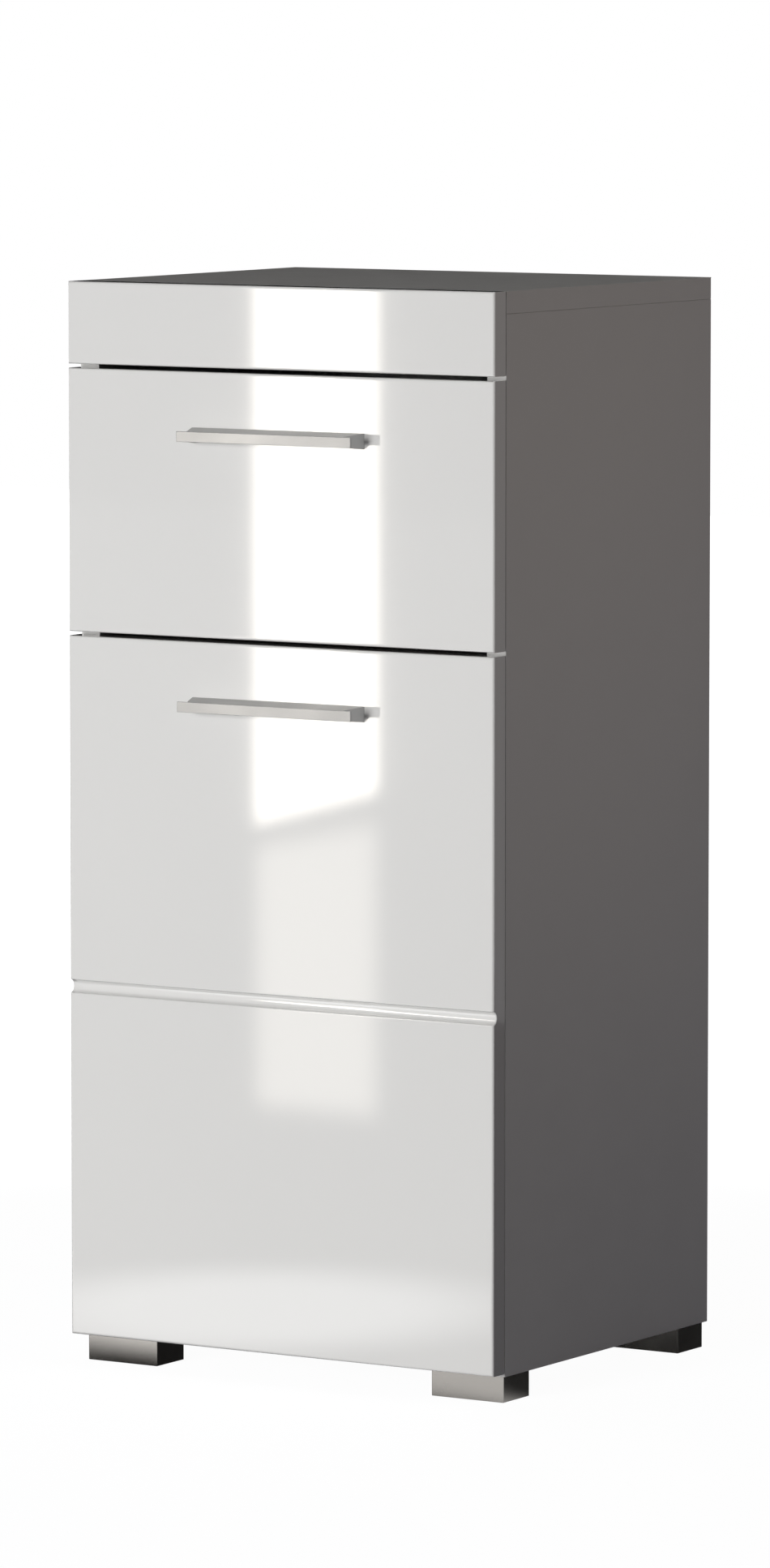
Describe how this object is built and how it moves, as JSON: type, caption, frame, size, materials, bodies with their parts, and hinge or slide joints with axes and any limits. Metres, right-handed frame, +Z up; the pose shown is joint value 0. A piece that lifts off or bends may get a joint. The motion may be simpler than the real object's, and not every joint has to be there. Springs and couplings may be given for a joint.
{
  "type": "bathroom floor cabinet",
  "caption": "Tall narrow bathroom floor cabinet with a plain fascia, a drawer on roller runners, a hinged grooved door, slim bar handles and low block feet.",
  "frame": {"origin": "middle of the footprint, handles included, on the floor under the feet", "axes": "+Z up, fronts and handles face -Y, +X to the right of someone facing the cabinet"},
  "size_m": [0.36, 0.3268, 0.79],
  "materials": {
    "front_lacquer": "gloss lacquer",
    "board_foil": "satin foil",
    "hardboard": "painted face",
    "beech": "raw",
    "foot_metal": "brushed",
    "handle_metal": "brushed",
    "fitting_steel": "nickel plated",
    "runner_paint": "powder coat",
    "nylon": "moulded",
    "buffer": "clear"
  },
  "bodies": {
    "carcass": {"top_panel": "board_foil", "side_panel_left": "board_foil", "side_panel_right": "board_foil", "bottom_panel": "board_foil", "divider_panel": "board_foil", "back_panel": "hardboard", "fascia_rail": "board_foil", "fascia_panel": "front_lacquer", "foot_front_left": "foot_metal", "foot_front_right": "foot_metal", "foot_rear_left": "foot_metal", "foot_rear_right": "foot_metal", "foot_screws": "fitting_steel", "shelf": "board_foil", "shelf_pins": "fitting_steel", "cam_locks": "fitting_steel", "cam_bolts": "fitting_steel", "dowels": "beech", "back_nails": "fitting_steel", "fascia_screws": "fitting_steel", "hinge_plate_upper": "fitting_steel", "hinge_plate_lower": "fitting_steel", "hinge_plate_screws": "fitting_steel", "hinge_arm_upper": "fitting_steel", "hinge_arm_lower": "fitting_steel", "hinge_arm_screws": "fitting_steel", "hinge_arm_pins": "fitting_steel", "cabinet_rail_left": "runner_paint", "cabinet_rail_right": "runner_paint", "cabinet_roller_axles": "fitting_steel", "cabinet_rail_screws": "fitting_steel"},
    "drawer": {"drawer_front": "front_lacquer", "drawer_side_left": "board_foil", "drawer_side_right": "board_foil", "drawer_back": "board_foil", "drawer_bottom": "hardboard", "drawer_handle": "handle_metal", "drawer_handle_screws": "fitting_steel", "drawer_rail_left": "runner_paint", "drawer_rail_right": "runner_paint", "drawer_roller_axles": "fitting_steel", "drawer_rail_screws": "fitting_steel", "drawer_cam_locks": "fitting_steel", "drawer_cam_bolts": "fitting_steel", "drawer_back_screws": "fitting_steel", "drawer_buffers": "buffer"},
    "door": {"door_panel": "front_lacquer", "door_handle": "handle_metal", "door_handle_screws": "fitting_steel", "hinge_cup_upper": "fitting_steel", "hinge_cup_lower": "fitting_steel", "hinge_cup_screws": "fitting_steel", "hinge_cup_pins": "fitting_steel", "door_buffers": "buffer"},
    "hinge_links": {"hinge_link_upper": "fitting_steel", "hinge_link_lower": "fitting_steel"},
    "cabinet_rollers": {"cabinet_roller_left": "nylon", "cabinet_roller_right": "nylon"},
    "drawer_rollers": {"drawer_roller_left": "nylon", "drawer_roller_right": "nylon"}
  },
  "joints": [
    {"name": "drawer_slide", "type": "slide", "parent": "carcass", "child": "drawer", "axis": [0, -1, 0], "range_m": [0, 0.1972]},
    {"name": "door_hinge", "type": "hinge", "parent": "carcass", "child": "door", "pos_m": [-0.1758, -0.1389, 0.2775], "axis": [0, 0, -1], "range_deg": [0, 95]},
    {"name": "link_turn", "type": "hinge", "parent": "door", "child": "hinge_links", "pos_m": [-0.1725, -0.1311, 0.2775], "axis": [0, 0, 1], "range_deg": [0, 124.3]},
    {"name": "cabinet_rollers_spin", "type": "hinge", "parent": "carcass", "child": "cabinet_rollers", "pos_m": [0, -0.1106, 0.5533], "axis": [1, 0, 0], "continuous": true},
    {"name": "drawer_rollers_spin", "type": "hinge", "parent": "drawer", "child": "drawer_rollers", "pos_m": [0, 0.1086, 0.5533], "axis": [1, 0, 0], "continuous": true}
  ],
  "couplings": [
    {"joint": "link_turn", "follows": "door_hinge", "ratio": 1.308},
    {"joint": "cabinet_rollers_spin", "follows": "drawer_slide", "rad_per_m": 125},
    {"joint": "drawer_rollers_spin", "follows": "drawer_slide", "rad_per_m": 125}
  ]
}
